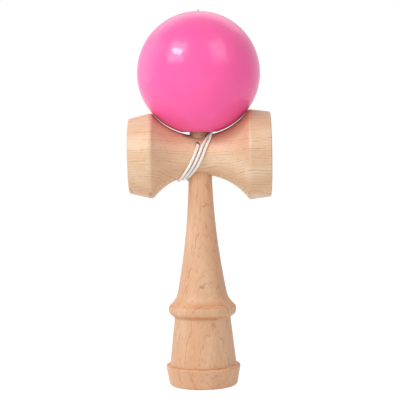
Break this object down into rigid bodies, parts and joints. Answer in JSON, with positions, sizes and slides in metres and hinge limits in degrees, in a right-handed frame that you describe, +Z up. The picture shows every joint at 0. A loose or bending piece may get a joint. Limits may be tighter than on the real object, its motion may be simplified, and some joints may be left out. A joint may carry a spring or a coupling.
{
  "type": "cup and ball toy",
  "caption": "Wooden cup and ball toy: turned handle with spike, cross-piece with cups, lacquered ball on a wound cotton string.",
  "frame": {"origin": "centre of the handle's foot, on the surface it stands on", "axes": "+Z up along the handle towards the ball, +X along the cross-piece towards the big cup, +Y to the back"},
  "size_m": [0.0692, 0.0616, 0.1844],
  "materials": {
    "beech": "satin",
    "pale_beech": "satin",
    "pink_lacquer": "gloss",
    "cotton": "matte"
  },
  "bodies": {
    "handle": {"handle": "beech", "cross_cups": "pale_beech", "anchor_knot": "cotton", "string_winding": "cotton", "string_hang": "cotton"},
    "bead": {"swivel_bead": "beech", "bead_knot": "cotton", "string_crown": "cotton"},
    "ball": {"ball": "pink_lacquer"}
  },
  "joints": [
    {"name": "ball_lift", "type": "slide", "parent": "handle", "child": "bead", "axis": [0, 0, 1], "range_m": [0, 0.06], "deforming": ["string_hang"]},
    {"name": "ball_spin", "type": "hinge", "parent": "bead", "child": "ball", "pos_m": [0, 0, 0.15305], "axis": [0, 0, 1], "continuous": true}
  ]
}
